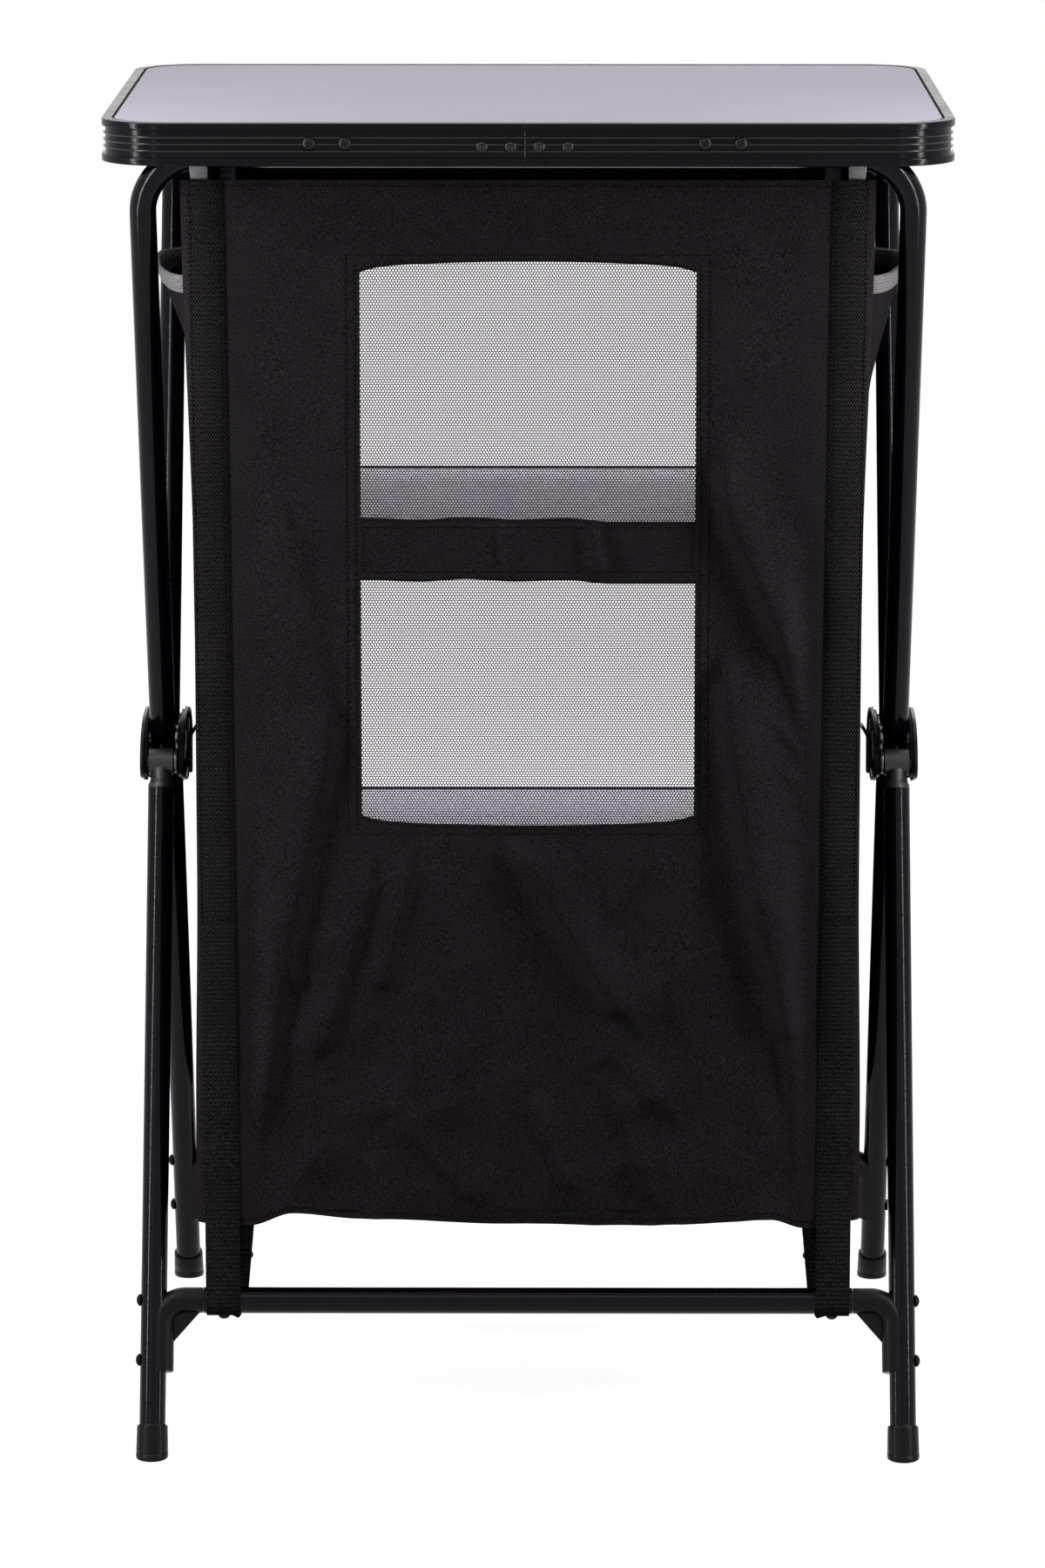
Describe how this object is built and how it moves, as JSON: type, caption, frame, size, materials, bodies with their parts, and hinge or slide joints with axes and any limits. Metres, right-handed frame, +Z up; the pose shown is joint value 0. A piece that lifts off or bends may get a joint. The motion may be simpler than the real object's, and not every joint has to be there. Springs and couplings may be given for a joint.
{
  "type": "fabric camp kitchen cupboard",
  "caption": "Folding camp kitchen cupboard: a laminated tabletop on crossed tube bows, with a hanging fabric cabinet, shelves and side pockets.",
  "frame": {"origin": "on the floor, at the middle of the four feet", "axes": "+Z up, +X along the tabletop's long side, +Y towards the open front"},
  "size_m": [0.6, 0.5286, 0.96],
  "materials": {
    "laminate": "satin, fine grained",
    "rim_metal": "satin, ribbed",
    "tube_steel": "satin powder coat",
    "hub_steel": "satin",
    "cast_grey": "as cast",
    "black_plastic": "fine matt",
    "fabric_black": "plain weave",
    "mesh_black": "open mesh",
    "webbing_black": "ribbed webbing",
    "binding_grey": "grosgrain",
    "screw_steel": "bright",
    "shelf_grey": "satin"
  },
  "bodies": {
    "hub": {"hub_plate_outer_left": "hub_steel", "hub_plate_outer_right": "hub_steel", "hub_plate_inner_left": "hub_steel", "hub_plate_inner_right": "hub_steel", "pivot_pin_upper_back_left": "screw_steel", "pivot_pin_upper_back_right": "screw_steel", "pivot_pin_upper_front_left": "screw_steel", "pivot_pin_upper_front_right": "screw_steel", "pivot_pin_lower_back_left": "screw_steel", "pivot_pin_lower_back_right": "screw_steel", "pivot_pin_lower_front_left": "screw_steel", "pivot_pin_lower_front_right": "screw_steel", "back_panel": "fabric_black", "window_mesh": "mesh_black", "side_panel_left": "fabric_black", "side_panel_right": "fabric_black", "front_header": "fabric_black", "rolled_door": "fabric_black", "cabinet_floor": "fabric_black", "webbing_back_left": "webbing_black", "webbing_back_right": "webbing_black", "webbing_front_left": "webbing_black", "webbing_front_right": "webbing_black", "hanger_loops_back": "binding_grey", "hanger_loops_front": "binding_grey", "pocket_left": "fabric_black", "pocket_right": "fabric_black", "pocket_binding_left": "binding_grey", "pocket_binding_right": "binding_grey"},
    "upper_back": {"upper_bow_back": "tube_steel"},
    "upper_front": {"upper_bow_front": "tube_steel"},
    "lower_back": {"crossbar_back": "tube_steel", "leg_back_left": "tube_steel", "knuckle_back_left": "cast_grey", "elbow_back_left": "black_plastic", "foot_back_left": "black_plastic", "leg_back_right": "tube_steel", "knuckle_back_right": "cast_grey", "elbow_back_right": "black_plastic", "foot_back_right": "black_plastic"},
    "lower_front": {"crossbar_front": "tube_steel", "leg_front_left": "tube_steel", "knuckle_front_left": "cast_grey", "elbow_front_left": "black_plastic", "foot_front_left": "black_plastic", "leg_front_right": "tube_steel", "knuckle_front_right": "cast_grey", "elbow_front_right": "black_plastic", "foot_front_right": "black_plastic"},
    "tabletop": {"tabletop_board": "laminate", "edge_profile": "rim_metal", "edge_joint_plate": "rim_metal", "bar_seat_back_left": "black_plastic", "bar_seat_back_right": "black_plastic", "bar_seat_front_left": "black_plastic", "bar_seat_front_right": "black_plastic"},
    "shelf_upper": {"shelf_upper": "shelf_grey"},
    "shelf_lower": {"shelf_lower": "shelf_grey"},
    "latch_left": {"latch_left": "hub_steel"},
    "latch_right": {"latch_right": "hub_steel"}
  },
  "joints": [
    {"name": "legs_back_fold", "type": "hinge", "parent": "hub", "child": "lower_back", "pos_m": [0, -0.05, 0.472], "axis": [1, 0, 0], "range_deg": [0, 23.2], "deforming": ["webbing_back_left", "webbing_back_right"]},
    {"name": "legs_front_fold", "type": "hinge", "parent": "hub", "child": "lower_front", "pos_m": [0, 0.05, 0.472], "axis": [1, 0, 0], "range_deg": [-23.2, 0], "deforming": ["webbing_front_left", "webbing_front_right"]},
    {"name": "bow_back_fold", "type": "hinge", "parent": "hub", "child": "upper_back", "pos_m": [0, -0.025, 0.486], "axis": [1, 0, 0], "range_deg": [-23.6, 0], "deforming": ["hanger_loops_back", "pocket_left", "pocket_right", "pocket_binding_left", "pocket_binding_right"]},
    {"name": "bow_front_fold", "type": "hinge", "parent": "hub", "child": "upper_front", "pos_m": [0, 0.025, 0.486], "axis": [1, 0, 0], "range_deg": [0, 23.6], "deforming": ["hanger_loops_front"]},
    {"name": "tabletop_lift", "type": "slide", "parent": "hub", "child": "tabletop", "axis": [0, 0, 1], "range_m": [0, 0.102]},
    {"name": "shelf_upper_turn", "type": "hinge", "parent": "hub", "child": "shelf_upper", "pos_m": [0, 0, 0.655], "axis": [-1, 0, 0], "range_deg": [0, 80]},
    {"name": "shelf_lower_turn", "type": "hinge", "parent": "hub", "child": "shelf_lower", "pos_m": [0, 0, 0.404], "axis": [-1, 0, 0], "range_deg": [0, 80]},
    {"name": "latch_left_swing", "type": "hinge", "parent": "hub", "child": "latch_left", "pos_m": [-0.2506, 0, 0.461], "axis": [1, 0, 0], "range_deg": [0, 25], "stiffness_Nm_per_rad": 0.05, "springref_deg": -5.73},
    {"name": "latch_right_swing", "type": "hinge", "parent": "hub", "child": "latch_right", "pos_m": [0.2506, 0, 0.461], "axis": [1, 0, 0], "range_deg": [0, 25], "stiffness_Nm_per_rad": 0.05, "springref_deg": -5.73}
  ],
  "couplings": [
    {"joint": "legs_front_fold", "follows": "legs_back_fold", "ratio": -1},
    {"joint": "bow_back_fold", "follows": "legs_back_fold", "ratio": -1.017},
    {"joint": "bow_front_fold", "follows": "legs_back_fold", "ratio": 1.017},
    {"joint": "tabletop_lift", "follows": "legs_back_fold", "m_per_rad": 0.25},
    {"joint": "shelf_upper_turn", "follows": "legs_back_fold", "ratio": 3.448},
    {"joint": "shelf_lower_turn", "follows": "legs_back_fold", "ratio": 3.448}
  ]
}
